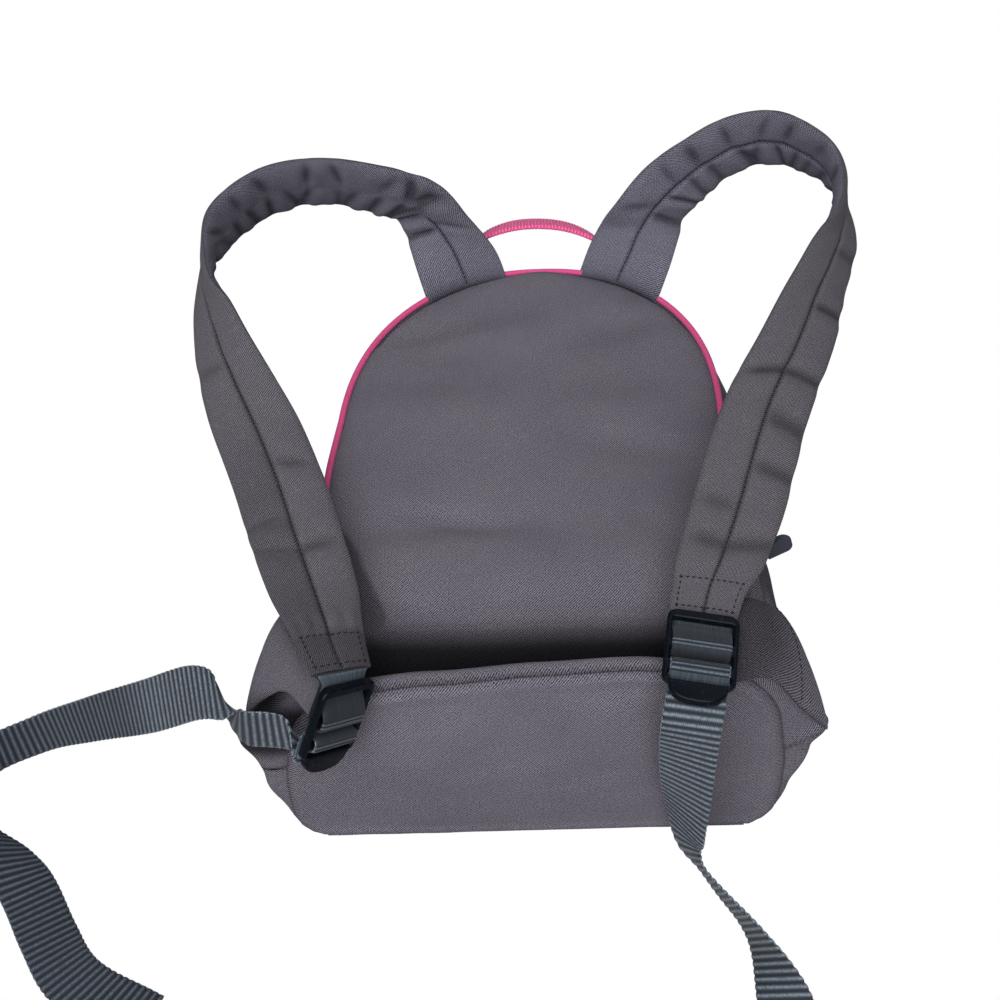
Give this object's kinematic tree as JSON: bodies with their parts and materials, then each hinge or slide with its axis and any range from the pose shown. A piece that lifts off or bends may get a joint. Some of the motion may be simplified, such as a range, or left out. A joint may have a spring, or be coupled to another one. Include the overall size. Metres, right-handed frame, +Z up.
{
  "type": "mini backpack",
  "caption": "Small arched backpack lying on its front, back panel up, with padded looped shoulder straps, ladder buckles with webbing tails, a grab handle and a zip round the side",
  "frame": {"origin": "on the underside of the front panel, in the middle of the flat it lies on, at floor level", "axes": "+X to the bag's right as seen from above its back panel, +Y from the base to the top of the arch, +Z up, from the front panel to the back panel"},
  "size_m": [0.383, 0.3916, 0.183],
  "materials": {
    "twill": "matte twill",
    "pink_trim": "ribbed webbing and piping",
    "grey_webbing": "ribbed webbing",
    "black_plastic": "satin gloss",
    "zip_tape": "coil zip",
    "zip_metal": "dark lacquer",
    "zip_pull": "soft matte"
  },
  "bodies": {
    "root": {"back_panel": "twill", "front_panel": "twill", "base_panel": "twill", "gusset_back": "twill", "gusset_front": "twill", "zip_chain": "zip_tape", "back_piping": "pink_trim", "grab_handle": "pink_trim", "strap_left": "twill", "strap_loop_left": "grey_webbing", "buckle_left": "black_plastic", "adjuster_left": "grey_webbing", "anchor_wing_left": "twill", "strap_right": "twill", "strap_loop_right": "grey_webbing", "buckle_right": "black_plastic", "adjuster_right": "grey_webbing", "anchor_wing_right": "twill", "zip_slider": "zip_metal", "zip_pull": "zip_pull"}
  },
  "joints": []
}
